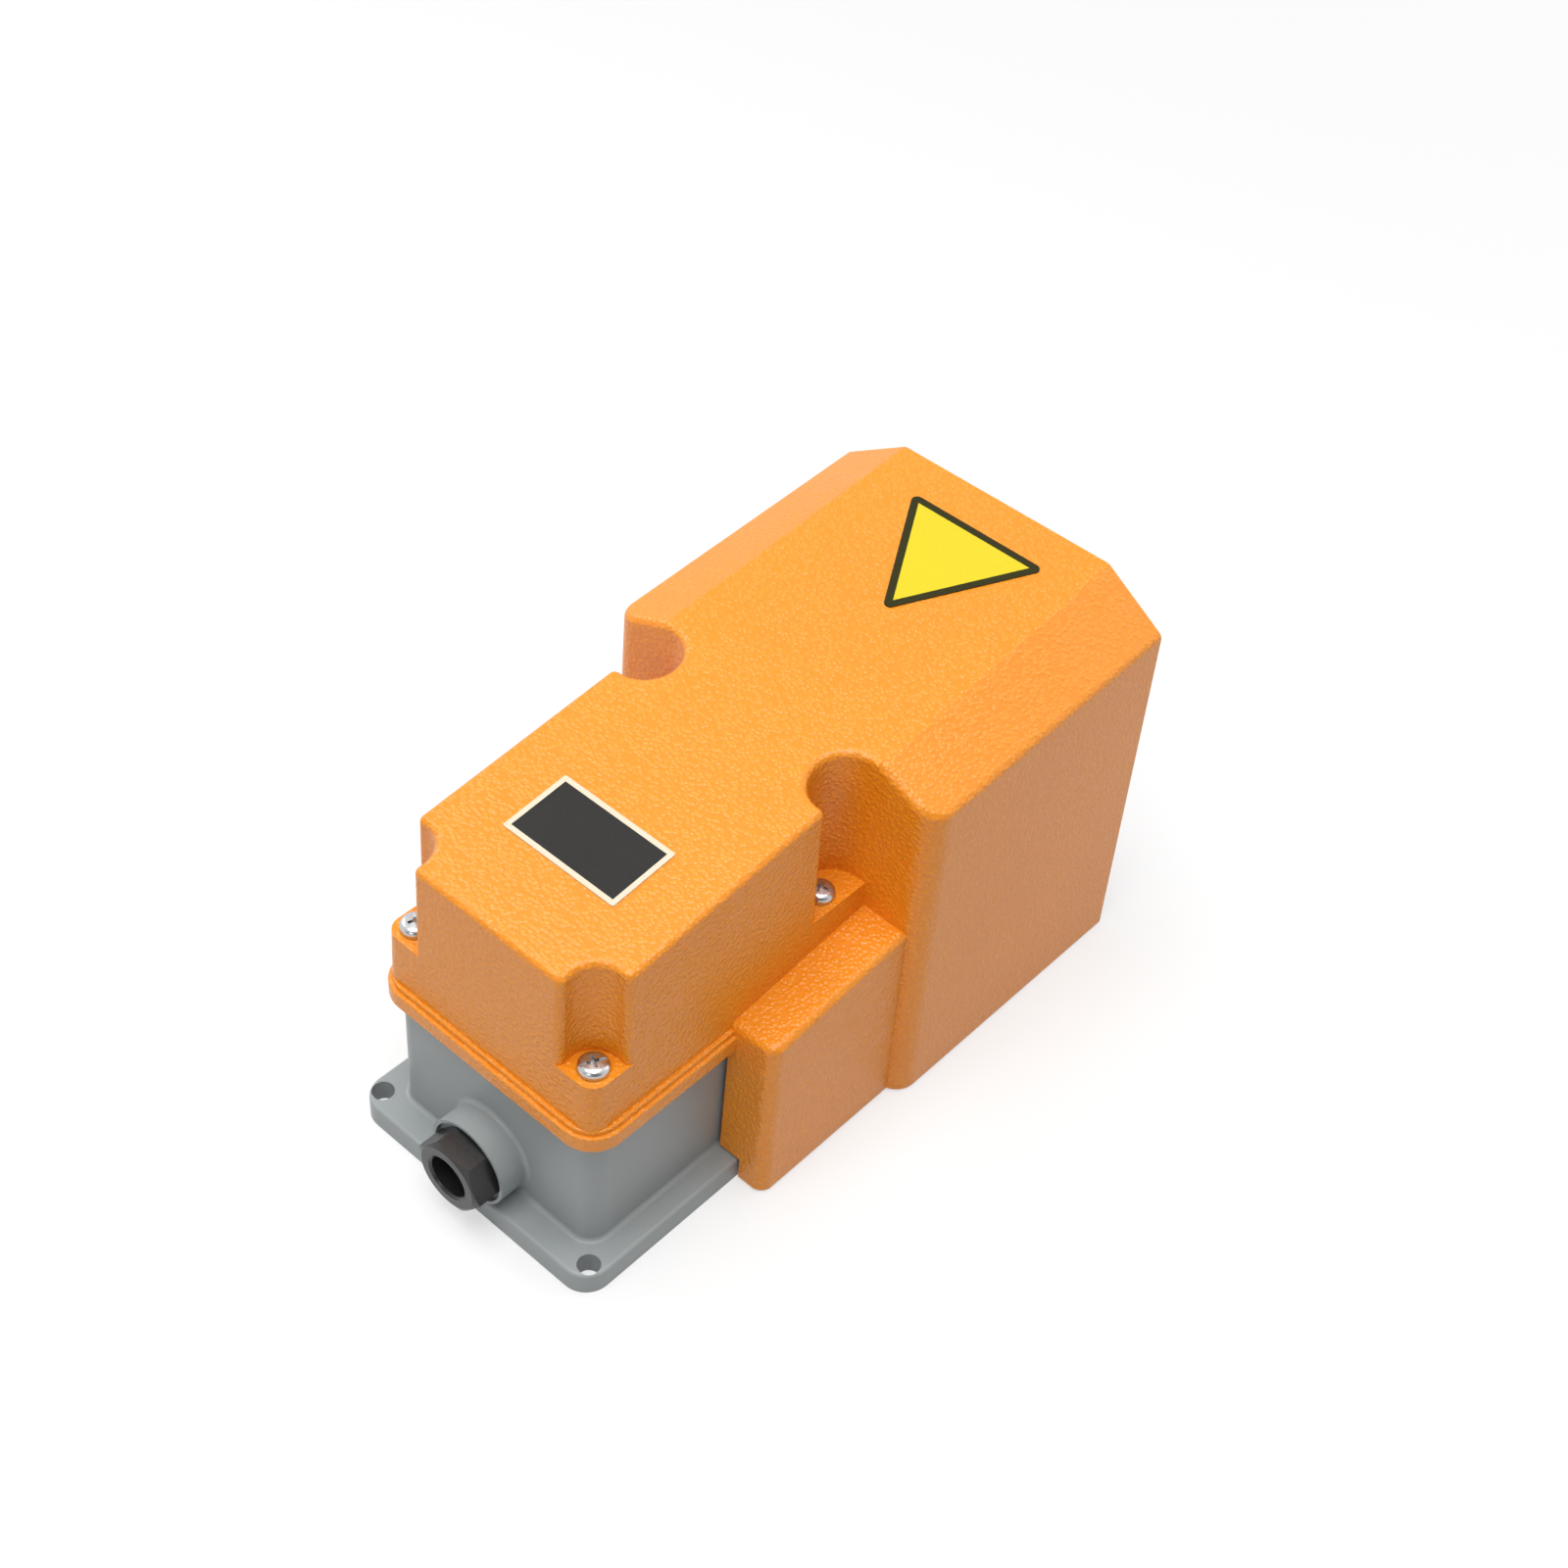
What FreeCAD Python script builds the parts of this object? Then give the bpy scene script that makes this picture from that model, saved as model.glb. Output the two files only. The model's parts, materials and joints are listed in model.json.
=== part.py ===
import FreeCAD, Part
import math
import os

# Industrial foot switch with a hooded guard, in millimetres. +Z is up, +Y points to the rear, where the
# cable leaves, and X is the width. The origin is on the floor under the middle of the outer box.

# Running and seating clearances
free_gap = 0.3
seat_gap = 0.02
running_gap = 0.03
hole_gap = 0.05

# Guard casting: hood, switch box lid and arm covers in one piece
guard_lift = 1.0
guard_wall = 4.0
roof_tilt = 6.8
roof_rear_height = 121.3
hood_front = -124.0
hood_rear = -11.5
hood_foot_half = 68.5
hood_lean = 0.85
ridge_half_front = 42.3
ridge_half_rear = 44.5
shoulder_drop_front = 15.3
shoulder_drop_rear = 9.5
hood_corner_radius = 8.0
hood_edge_radius = 3.0
lid_edge_radius = 2.2
recess_corner_radius = 2.3
lid_past_side = 0.6
lid_past_rear = 0.8
lid_lean = 1.2
lid_corner_radius = 6.0
lid_inner_radius = 2.0
seat_height = 85.5
scallop_radius = 9.5
scallop_outset = 1.9
notch_reach = 29.5
skirt_height = 7.6
skirt_wall = 4.2
skirt_edge_radius = 0.8
bead_height = 1.9
bead_step = 1.3
bead_edge_radius = 0.7
pillar_radius = 6.0
cover_half = 62.3
cover_rear = 48.5
cover_rear_height = 68.5
cover_lean = 0.6
cover_roof_wall = 4.0
cover_edge_radius = 2.6
cover_corner_radius = 4.5
cover_gap = 1.5

# Base casting: mounting plate, switch box and cable boss in one piece
plate_half = 52.0
plate_front = -116.0
plate_past_box = 10.5
plate_thick = 8.5
plate_corner_radius = 9.0
plate_edge_radius = 1.2
bolt_inset_x = 5.2
bolt_inset_y = 6.2
bolt_hole_radius = 3.75
box_half = 43.0
box_front = -3.0
box_rear = 105.0
box_top = 63.0
box_wall = 4.5
box_floor = 5.0
box_corner_radius = 7.0
box_foot_radius = 1.6
post_radius = 6.0
boss_radius = 15.5
boss_height = 21.0
boss_foot_radius = 1.5

# Lid screws, M5, and the gasket under the lid
screw_radius = 2.5
screw_head_radius = 5.0
screw_head_height = 3.7
screw_length = 45.0
screw_inset = 5.4
gasket_thick = 1.5

# Pedal shaft, its bearings and the pedal
shaft_y = 30.0
shaft_z = 34.0
shaft_radius = 6.0
bearing_boss_radius = 11.5
bearing_boss_out = 2.5
bearing_boss_in = 3.0
bush_wall = 2.0
seal_section = 1.9
washer_thick = 1.7
arm_thick = 8.0
arm_gap = 0.3
hub_radius = 12.0
pedal_travel = 8.0
pedal_slope = 6.0
pedal_rear = -20.0
pedal_front = -102.0
pedal_rear_height = 40.0
pedal_plate = 6.0
pedal_rim = 14.0
pedal_rib = 4.0
pedal_neck = 9.0
pad_thick = 3.0
pad_margin = 6.0
groove_pitch = 7.0
groove_width = 2.2
groove_depth = 1.4
pad_screw_radius = 2.0
pad_screw_head = 3.8
pad_screw_inset = 9.0
pedal_corner_radius = 6.0
set_screw_radius = 2.0
shaft_end_out = 0.8

# Return spring and rubber buffers under the pedal
spring_y = -40.0
spring_radius = 10.0
spring_wire = 2.4
spring_turns = 5.5
spring_runs_per_turn = 16
spring_sides = 6
spring_post = 6.0
buffer_y = -86.0
buffer_x = 32.0
buffer_radius = 8.0
buffer_top_radius = 6.4

# Cam lever on the shaft and its adjusting screw
lever_reach = 28.0
lever_half = 8.0
lever_thick = 10.0
adjuster_radius = 3.0
adjuster_head_radius = 4.6
adjuster_head = 3.0
adjuster_length = 16.0
lock_nut_flats = 10.0
lock_nut_height = 4.0
stop_radius = 5.0
stop_reach = 16.0
stop_rubber = 3.0
stop_bevel = 1.0

# Limit switch and its bracket
switch_length = 49.2
switch_width = 17.5
switch_body_height = 24.2
switch_lead = 18.0
button_radius = 2.75
button_out = 5.7
button_depth = 5.0
button_gap = 0.08
button_bevel = 0.7
switch_corner_radius = 1.0
cover_plate = 1.2
mount_pitch = 25.4
mount_radius = 2.1
bracket_thick = 2.0
bracket_foot = 17.0
bracket_front = 44.0
bracket_rear = 87.0
bracket_foot_inset = 8.0
switch_hole_height = 17.0
terminal_pitch = 14.0
terminal_width = 8.0
terminal_reach = 11.0
terminal_sheet = 1.2
terminal_wing = 4.0
terminal_screw_length = 5.0
boss_pad_radius = 5.5
bracket_seat = 8.0
small_screw_radius = 2.0
small_screw_head = 3.9
small_screw_height = 2.6
small_screw_length = 8.0
small_nut_flats = 7.0
small_nut_height = 3.2
earth_seat = 11.0
earth_clamp_side = 10.0
earth_clamp_thick = 1.5
earth_clamp_corner = 1.0
earth_screw_head = 4.5
earth_screw_length = 9.0
earth_from_side = 18.5
earth_from_rear = 22.0

# Cable gland in the boss
gland_flats = 24.0
gland_nut_height = 10.5
gland_turn = 10.0
gland_bevel = 1.2
gland_bore = 7.5
gland_thread = 9.5
gland_thread_depth = 5.8
gland_recess = 2.0
gland_recess_radius = 14.4
gland_bore_bevel = 0.8
gland_washer = 1.0
gland_seal_length = 4.5
gland_seal_bore = 6.0

# Blank plate and blank triangle on the roof
name_length = 45.0
name_width = 25.5
name_sheet = 0.5
name_corner_radius = 0.6
name_place = 65.2
triangle_side = 55.0
triangle_sheet = 0.4
triangle_base = -108.0
triangle_shift = -2.0
triangle_radius = 2.0

tilt_slope = math.tan(math.radians(roof_tilt))
lid_half = box_half + lid_past_side
lid_rear = box_rear + lid_past_rear
plate_rear = box_rear + plate_past_box
gasket_top = box_top + gasket_thick
skirt_bottom = gasket_top + bead_height - skirt_height
screw_x = box_half - screw_inset
screw_ys = (box_front + screw_inset, box_rear - screw_inset)
shaft_from_wall = box_half + bearing_boss_out
arm_inner = shaft_from_wall + washer_thick + arm_gap
arm_outer = arm_inner + arm_thick
travel = math.radians(pedal_travel)
adjuster_top = shaft_z + lever_thick / 2 + lock_nut_height + adjuster_head
button_bottom = adjuster_top + free_gap
switch_bottom = button_bottom + button_out
button_y = shaft_y + lever_reach
button_travel = lever_reach * travel


def vec(x, y, z):
    return FreeCAD.Vector(x, y, z)


def block(x0, x1, y0, y1, z0, z1):
    return Part.makeBox(x1 - x0, y1 - y0, z1 - z0, vec(x0, y0, z0))


def polygon(points):
    return Part.Face(Part.makePolygon(points + [points[0]]))


def prism_x(profile, x0, x1):
    """A (y, z) outline pushed from x0 to x1."""
    return polygon([vec(x0, y, z) for y, z in profile]).extrude(vec(x1 - x0, 0, 0))


def prism_y(profile, y0, y1):
    """An (x, z) outline pushed from y0 to y1."""
    return polygon([vec(x, y0, z) for x, z in profile]).extrude(vec(0, y1 - y0, 0))


def prism_z(outline, z0, z1):
    """An (x, y) outline pushed from z0 to z1."""
    return polygon([vec(x, y, z0) for x, y in outline]).extrude(vec(0, 0, z1 - z0))


def rod_x(y, z, radius, x0, x1):
    return Part.makeCylinder(radius, x1 - x0, vec(x0, y, z), vec(1, 0, 0))


def rod_y(x, z, radius, y0, y1):
    return Part.makeCylinder(radius, y1 - y0, vec(x, y0, z), vec(0, 1, 0))


def rod_z(x, y, radius, z0, z1):
    return Part.makeCylinder(radius, z1 - z0, vec(x, y, z0))


def turned(profile, x, y, z):
    """An (r, h) half section turned about a vertical axis through (x, y), with h counted from z."""
    face = polygon([vec(x + r, y, z + h) for r, h in profile])
    return face.revolve(vec(x, y, z), vec(0, 0, 1), 360)


def fuse(shapes):
    whole = shapes[0]
    for shape in shapes[1:]:
        whole = whole.fuse(shape)
    return whole.removeSplitter()


def cut(shape, tools):
    for tool in tools:
        shape = shape.cut(tool)
    return shape


def mirrored(shape):
    return shape.mirror(vec(0, 0, 0), vec(1, 0, 0))


def both(shape):
    return [shape, mirrored(shape)]


def rounded(shape, radius, chosen):
    """The shape with the edges that chosen(edge) picks rounded."""
    return shape.makeFillet(radius, [e for e in shape.Edges if chosen(e)])


def is_vertical(edge):
    """Upright, or leaning only as much as the walls lean."""
    a, b = edge.Vertexes[0].Point, edge.Vertexes[-1].Point
    return abs(b.z - a.z) > 1 and math.hypot(b.x - a.x, b.y - a.y) < 0.06 * abs(b.z - a.z)


def is_upright(edge):
    a, b = edge.Vertexes[0].Point, edge.Vertexes[-1].Point
    return abs(b.x - a.x) + abs(b.y - a.y) < 1e-6


def round_box(x0, x1, y0, y1, z0, z1, radius):
    return rounded(block(x0, x1, y0, y1, z0, z1), radius, is_upright)


def roof_height(y):
    return roof_rear_height + (lid_rear - y) * tilt_slope


def cover_height(y):
    return cover_rear_height + (cover_rear - y) * tilt_slope


def lean_half(half, lean, z):
    """Half a width at height z, for walls that lean in from half at the floor."""
    return half - z * math.tan(math.radians(lean))


def under_roof(front, rear, low, drop):
    """A (y, z) outline from low up to drop below the roof."""
    return [(front, low), (rear, low), (rear, roof_height(rear) - drop), (front, roof_height(front) - drop)]


def hood_form(inset):
    """The hood as a solid, with its faces moved in by inset."""
    front = hood_front
    rear = hood_rear - inset
    roof_drop = inset / math.cos(math.radians(roof_tilt))
    low = -1.0 if inset else guard_lift
    side = under_roof(front, rear, low, roof_drop)
    form = prism_x(side, -hood_foot_half, hood_foot_half)
    top = roof_height(front) + 1
    foot = hood_foot_half - inset
    walls = [(-lean_half(foot, hood_lean, low), low), (lean_half(foot, hood_lean, low), low)]
    walls += [(lean_half(foot, hood_lean, top), top), (-lean_half(foot, hood_lean, top), top)]
    form = form.common(prism_y(walls, front, rear))
    return cut(form, both(shoulder_cut(inset)))


def shoulder_cut(inset):
    """What the sloping shoulder takes off the hood on its +X side."""
    wires = []
    ends = (
        (hood_front, ridge_half_front, shoulder_drop_front),
        (hood_rear, ridge_half_rear, shoulder_drop_rear),
    )
    for y, ridge, drop in ends:
        outer = lean_half(hood_foot_half, hood_lean, roof_height(y) - drop)
        run = vec(outer - ridge, 0, -drop)
        normal = vec(drop, 0, outer - ridge).normalize()
        start = vec(ridge, y, roof_height(y)) - run * 0.5 - normal * inset
        end = vec(outer, y, roof_height(y) - drop) + run * 0.5 - normal * inset
        corner = vec(end.x, y, start.z)
        wires.append(Part.makePolygon([start, end, corner, start]))
    return Part.makeLoft(wires, True, True)


def lid_form(front, inset, corner_radius):
    """The lid over the switch box as a solid from front to the rear, with its faces moved in by inset."""
    low = gasket_top
    top = roof_height(hood_front)
    half = lid_half - inset
    grow = (roof_rear_height - low) * math.tan(math.radians(lid_lean))
    rear = lid_rear - inset
    drop = inset / math.cos(math.radians(roof_tilt))
    shrink = (top - roof_rear_height) * math.tan(math.radians(lid_lean))
    walls = [(-half - grow, low), (half + grow, low), (half - shrink, top), (-half + shrink, top)]
    side = under_roof(front, rear, low, drop)
    side[1] = (rear + grow, low)
    form = prism_x(side, -2 * lid_half, 2 * lid_half).common(prism_y(walls, front, rear + grow))
    return rounded(form, corner_radius, lambda e: is_vertical(e) and e.CenterOfMass.y > rear - corner_radius)


def screw_recesses(grow):
    """The upright cuts that let a screwdriver reach the lid screws, grown by a wall where asked."""
    top = roof_height(hood_front) + 1
    low = seat_height - grow
    rear = rod_z(screw_x + scallop_outset, screw_ys[1] + scallop_outset, scallop_radius + grow, low, top)
    slot_radius = -hood_rear + grow
    centre = notch_reach - hood_rear
    slot = rod_z(centre, 0, slot_radius, low, top)
    slot = slot.fuse(block(centre, hood_foot_half, -slot_radius, slot_radius, low, top)).removeSplitter()
    return both(rear) + both(slot)


def on_roof(edge):
    c = edge.CenterOfMass
    return abs(c.z - roof_height(c.y)) < 0.6


def lid_outer():
    lid = cut(lid_form(hood_rear - guard_wall, 0, lid_corner_radius), screw_recesses(0))

    def recess_corner(edge):
        c = edge.CenterOfMass
        beside_slot = abs(c.y + hood_rear) < 0.5 and abs(c.x) > lid_half - 1
        beside_scallop = c.y > box_rear - 20
        return is_vertical(edge) and c.z > seat_height + 5 and (beside_slot or beside_scallop)

    lid = rounded(lid, recess_corner_radius, recess_corner)
    return rounded(lid, lid_edge_radius, lambda e: on_roof(e) and e.CenterOfMass.y > hood_rear - 1)


def hood_outer():
    def rear_corner(edge):
        return is_vertical(edge) and edge.CenterOfMass.y > hood_rear - 1

    hood = rounded(hood_form(0), hood_corner_radius, rear_corner)

    def top_edge(edge):
        c = edge.CenterOfMass
        return not is_vertical(edge) and c.y > hood_front + 1 and c.z > 2 * plate_half

    return rounded(hood, hood_edge_radius, top_edge)


def arm_cover():
    """The solid form of the cover over the pedal arm on the +X side."""
    inner = box_half - guard_wall / 2
    outer = cover_half + 1
    front = hood_rear - guard_wall / 2
    rear = cover_rear
    foot = rear + cover_lean
    side = [(front, guard_lift), (foot, guard_lift), (rear, cover_height(rear)), (front, cover_height(front))]
    top = cover_height(front) + 1
    walls = [(inner, guard_lift), (outer, guard_lift), (lean_half(outer, hood_lean, top), top), (inner, top)]
    form = prism_x(side, inner, outer).common(prism_y(walls, front, foot))

    def rear_corner(edge):
        c = edge.CenterOfMass
        return is_vertical(edge) and c.x > cover_half - 2 and c.y > rear - 1

    def on_top(edge):
        c = edge.CenterOfMass
        return abs(c.z - cover_height(c.y)) < 0.5 and (c.x > cover_half - 2 or c.y > rear - 2)

    return rounded(rounded(form, cover_corner_radius, rear_corner), cover_edge_radius, on_top)


def box_ring(past, low, high):
    """A block with the switch box's outline, grown by past on every side."""
    half = box_half + past
    return round_box(-half, half, box_front - past, box_rear + past, low, high, box_corner_radius + past)


def skirt_form():
    """The lid's outer band, which hangs over the box, with the thin bead on top."""
    reach = free_gap + skirt_wall
    band = box_ring(reach, skirt_bottom, gasket_top)
    bead_top = gasket_top + bead_height
    bead = box_ring(reach - bead_step, gasket_top, bead_top)
    return [
        rounded(band, skirt_edge_radius, lambda e: abs(e.CenterOfMass.z - gasket_top) < 0.01),
        rounded(bead, bead_edge_radius, lambda e: abs(e.CenterOfMass.z - bead_top) < 0.01),
    ]


def lid_screw_holes(radius, z0, z1):
    return [rod_z(side * screw_x, y, radius, z0, z1) for side in (-1, 1) for y in screw_ys]


def lid_inside():
    """The room over the switch box, with the screw pillars and recess walls left standing."""
    room = lid_form(box_front + box_wall, guard_wall, lid_inner_radius)
    pocket = block(-box_half, box_half, box_front, box_rear, gasket_top, seat_height)
    pillars = [pillar.common(pocket) for pillar in lid_screw_holes(pillar_radius, gasket_top, seat_height)]
    return cut(room, pillars + screw_recesses(guard_wall))


def arm_room():
    """The room for the pedal arm inside the cover on the +X side."""
    inner = box_half + free_gap
    outer = cover_half - guard_wall
    front = hood_rear - 2 * guard_wall
    rear = cover_rear - guard_wall
    low = block(inner, outer, front, rear, -1, skirt_bottom)
    above = box_half + free_gap + skirt_wall + bead_step
    top = cover_roof_wall / math.cos(math.radians(roof_tilt))
    side = [(front, -1), (rear, -1), (rear, cover_height(rear) - top), (front, cover_height(front) - top)]
    return low.fuse(prism_x(side, above, outer))


def hood_inside():
    """The room for the foot, open at the front and at the floor."""
    room = hood_form(guard_wall)
    front, rear = hood_rear - 2 * guard_wall, box_front
    reach = cover_half - guard_wall
    back = block(-reach, reach, front, rear + 1, -1, skirt_bottom)
    drop = guard_wall / math.cos(math.radians(roof_tilt))
    low = gasket_top + bead_height + bead_step
    pocket = prism_x(under_roof(front, rear, low, drop), guard_wall - notch_reach, notch_reach - guard_wall)
    return room.fuse(back).fuse(pocket)


def guard_cover():
    outer = fuse([lid_outer(), hood_outer()] + skirt_form() + both(arm_cover()))
    over_box = box_ring(free_gap, -1, gasket_top)
    over_plate = block(-plate_half - 1, plate_half + 1, hood_rear, cover_rear + 2, -1, plate_thick + 1)
    beside = box_half + cover_gap
    beside_box = block(-beside, beside, cover_rear - guard_wall - 1, cover_rear + 2, -1, skirt_bottom)
    rooms = [lid_inside(), hood_inside(), over_box, over_plate, beside_box] + both(arm_room())
    holes = lid_screw_holes(screw_radius + free_gap, gasket_top - 1, seat_height + 1)
    return [cut(outer, rooms + holes)]


def base_casting():
    plate = round_box(-plate_half, plate_half, plate_front, plate_rear, 0, plate_thick, plate_corner_radius)
    plate = rounded(plate, plate_edge_radius, lambda e: abs(e.CenterOfMass.z - plate_thick) < 0.01)
    box = round_box(-box_half, box_half, box_front, box_rear, plate_thick - 1, box_top, box_corner_radius)
    boss = rod_y(0, boss_height, boss_radius, box_rear - box_wall, plate_rear)
    bearing = rod_x(shaft_y, shaft_z, bearing_boss_radius, box_half - 1, shaft_from_wall)
    body = fuse([plate, box])

    def box_foot(edge):
        c = edge.CenterOfMass
        inside = abs(c.x) < box_half + 0.1 and box_front - 0.1 < c.y < box_rear + 0.1
        return abs(c.z - plate_thick) < 0.01 and inside

    body = rounded(body, box_foot_radius, box_foot)
    whole = fuse([body, boss, boss_foot()] + both(bearing))
    room = box_ring(-box_wall, box_floor, box_top + 1)
    posts = lid_screw_holes(post_radius, box_floor - 1, box_top)
    bearing_in = rod_x(shaft_y, shaft_z, bearing_boss_radius, box_half - box_wall - bearing_boss_in, box_half)
    inside = both(bearing_in) + [stop_post(), earth_boss()] + bracket_bosses()
    shell = whole.cut(room)
    limits = box_ring(-1, 0, box_top)
    whole = fuse([shell] + [post.common(limits) for post in posts] + inside + [spring_seat()])
    bolts = [rod_z(x, y, bolt_hole_radius, -1, plate_thick + 1) for x, y in bolt_places()]
    tapped = lid_screw_holes(screw_radius + hole_gap, seat_height - screw_length - 2, box_top + 1)
    reach = shaft_from_wall + 1
    bearing_bore = rod_x(shaft_y, shaft_z, shaft_radius + bush_wall, -reach, reach)
    gland = rod_y(0, boss_height, gland_thread, gland_pocket_end(), plate_rear + 1)
    recess = rod_y(0, boss_height, gland_recess_radius, gland_seat(), plate_rear + 1)
    wire_way = rod_y(0, boss_height, gland_bore, box_rear - box_wall - 1, plate_rear)
    return [cut(whole, bolts + tapped + [bearing_bore, gland, recess, wire_way] + tapped_places())]


def boss_foot():
    """The hollow curve in which the cable boss grows out of the box wall."""
    reach = boss_radius + boss_foot_radius
    end = box_rear + boss_foot_radius
    ring = rod_y(0, boss_height, reach, box_rear - box_wall / 2, end)
    return ring.cut(Part.makeTorus(reach, boss_foot_radius, vec(0, end, boss_height), vec(0, 1, 0)))


def bolt_places():
    x = plate_half - bolt_inset_x
    ys = (plate_front + bolt_inset_y, plate_rear - bolt_inset_y)
    return [(side * x, y) for side in (-1, 1) for y in ys]


def gland_seat():
    """The bottom of the round recess in which the head of the gland screw sits."""
    return plate_rear - gland_recess


def gland_pocket_end():
    return gland_seat() - gland_thread_depth - gland_washer - gland_seal_length


def stop_top():
    """The underside of the cam lever at rest, less the rubber cap and a gap."""
    return shaft_z - lever_thick / 2 - free_gap - stop_rubber


def stop_place():
    return shaft_y + stop_reach


def stop_post():
    return rod_z(0, stop_place(), stop_radius, box_floor - 1, stop_top())


def earth_place():
    return (earth_from_side - box_half, box_rear - earth_from_rear)


def earth_boss():
    x, y = earth_place()
    return rod_z(x, y, boss_pad_radius, box_floor - 1, earth_seat)


def bracket_foot_places():
    x = switch_width / 2 + bracket_thick + (bracket_foot - bracket_thick) / 2
    return [(x, bracket_front + bracket_foot_inset), (x, bracket_rear - bracket_foot_inset)]


def bracket_bosses():
    return [rod_z(x, y, boss_pad_radius, box_floor - 1, bracket_seat) for x, y in bracket_foot_places()]


def tapped_places():
    low = bracket_seat - small_screw_length + bracket_thick - 1
    radius = small_screw_radius + hole_gap
    holes = [rod_z(x, y, radius, low, bracket_seat + 1) for x, y in bracket_foot_places()]
    x, y = earth_place()
    low = earth_seat + earth_clamp_thick - earth_screw_length - 1
    return holes + [rod_z(x, y, screw_radius + hole_gap, low, earth_seat + 1)]


def spring_seat():
    return rod_z(0, spring_y, spring_spigot_radius(), plate_thick - 1, plate_thick + spring_post)


def hexagon(flats, length):
    """An upright hexagonal bar of a width across flats."""
    corner = flats / math.sqrt(3)
    points = [(corner * math.cos(k * math.pi / 3), corner * math.sin(k * math.pi / 3)) for k in range(6)]
    return prism_z(points, 0, length)


def pan_screw(radius, length, head_radius, head_height, x=0, y=0, z=0):
    """An upright screw with a pan head, whose head sits on height z."""
    crown = 0.6 * head_radius
    rim = head_height / 2
    shank = [(0, -length), (radius, -length), (radius, 0)]
    head = [(head_radius, 0), (head_radius, rim), (crown, head_height), (0, head_height)]
    return turned(shank + head, x, y, z)


def ring_z(x, y, outer, inner, z0, z1):
    return rod_z(x, y, outer, z0, z1).cut(rod_z(x, y, inner, z0 - 1, z1 + 1))


def ring_x(y, z, outer, inner, x0, x1):
    return rod_x(y, z, outer, x0, x1).cut(rod_x(y, z, inner, x0 - 1, x1 + 1))


def ring_y(z, outer, inner, y0, y1):
    return rod_y(0, z, outer, y0, y1).cut(rod_y(0, z, inner, y0 - 1, y1 + 1))


def box_room(low, high):
    """The inside of the switch box between two heights, with the screw posts left standing."""
    return cut(box_ring(-box_wall, low, high), lid_screw_holes(post_radius, low - 1, high + 1))


def lid_gasket():
    sheet = box_ring(0, box_top, gasket_top)
    holes = lid_screw_holes(screw_radius + free_gap, box_top - 1, gasket_top + 1)
    return [cut(sheet, [box_room(box_top - 1, gasket_top + 1)] + holes)]


def lid_screws():
    size = (screw_radius, screw_length, screw_head_radius, screw_head_height)
    return [pan_screw(*size, side * screw_x, y, seat_height) for side in (-1, 1) for y in screw_ys]


def pedal_height(y):
    return pedal_rear_height + (pedal_rear - y) * math.tan(math.radians(pedal_slope))


def pressed_height(y, z):
    """The height that a point of the pedal comes down to at full travel."""
    return shaft_z + (y - shaft_y) * math.sin(travel) + (z - shaft_z) * math.cos(travel)


def pedal_slab(y0, y1, x0, x1, over, under):
    """A slab that follows the pedal's slope, from under to over, both counted from its top face."""
    side = [(y0, pedal_height(y0) + under), (y1, pedal_height(y1) + under)]
    side += [(y1, pedal_height(y1) + over), (y0, pedal_height(y0) + over)]
    return prism_x(side, x0, x1)


def on_pedal(shape):
    """Moves a shape made flat, with its rear edge on the origin, onto the pedal's sloping top."""
    shape = shape.copy()
    shape.rotate(vec(0, 0, 0), vec(1, 0, 0), -pedal_slope)
    shape.translate(vec(0, pedal_rear, pedal_rear_height))
    return shape


def pad_screw_places():
    length = (pedal_rear - pedal_front) / math.cos(math.radians(pedal_slope))
    x = arm_outer - pad_margin - pad_screw_inset
    inset = pad_margin + pad_screw_inset
    return [(side * x, y) for side in (-1, 1) for y in (-inset, inset - length)]


def spring_pad_height():
    return pedal_height(spring_y) - pedal_plate - 1


def pedal_casting():
    plate = pedal_slab(pedal_front, pedal_rear, -arm_outer, arm_outer, 0, -pedal_plate)
    across = [
        pedal_slab(y, y + pedal_rib, -arm_outer, arm_outer, 0, -pedal_rim)
        for y in (pedal_front, (pedal_front + pedal_rear) / 2, pedal_rear - pedal_rib)
    ]
    rib_x = spring_radius + spring_wire / 2 + pedal_rib
    along = pedal_slab(pedal_front, pedal_rear, rib_x, rib_x + pedal_rib, -pedal_plate / 2, -pedal_rim)
    front = pedal_height(pedal_front)
    rear = pedal_height(pedal_rear)
    side = [(pedal_front, front), (pedal_front, front - pedal_rim)]
    side += [(pedal_rear, rear - pedal_rim - pedal_rib), (shaft_y, shaft_z - pedal_neck)]
    side += [(shaft_y, shaft_z + pedal_neck), (pedal_rear, rear)]
    arm = prism_x(side, arm_inner, arm_outer).fuse(rod_x(shaft_y, shaft_z, hub_radius, arm_inner, arm_outer))
    inside = pedal_height(spring_y) - pedal_plate / 2
    pad = rod_z(0, spring_y, spring_radius + spring_wire / 2 + 1, spring_pad_height(), inside)
    spigot = rod_z(0, spring_y, spring_spigot_radius(), spring_pad_height() - spring_post, inside)
    whole = fuse([plate, pad, spigot] + across + both(along) + both(arm))

    def rim_corner(edge):
        c = edge.CenterOfMass
        return is_vertical(edge) and abs(abs(c.x) - arm_outer) < 0.1 and abs(c.y - pedal_front) < 0.1

    whole = rounded(whole, pedal_corner_radius, rim_corner)
    bore = rod_x(shaft_y, shaft_z, shaft_radius + seat_gap, -arm_outer - 1, arm_outer + 1)
    key = rod_z(arm_middle(), shaft_y, set_screw_radius + seat_gap, shaft_z, shaft_z + hub_radius + 1)
    radius = pad_screw_radius + hole_gap
    holes = [on_pedal(rod_z(x, y, radius, -pedal_plate - 1, 1)) for x, y in pad_screw_places()]
    return [cut(whole, [bore] + both(key) + holes)]


def arm_middle():
    return (arm_inner + arm_outer) / 2


def spring_spigot_radius():
    return spring_radius - spring_wire / 2 - free_gap


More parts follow.
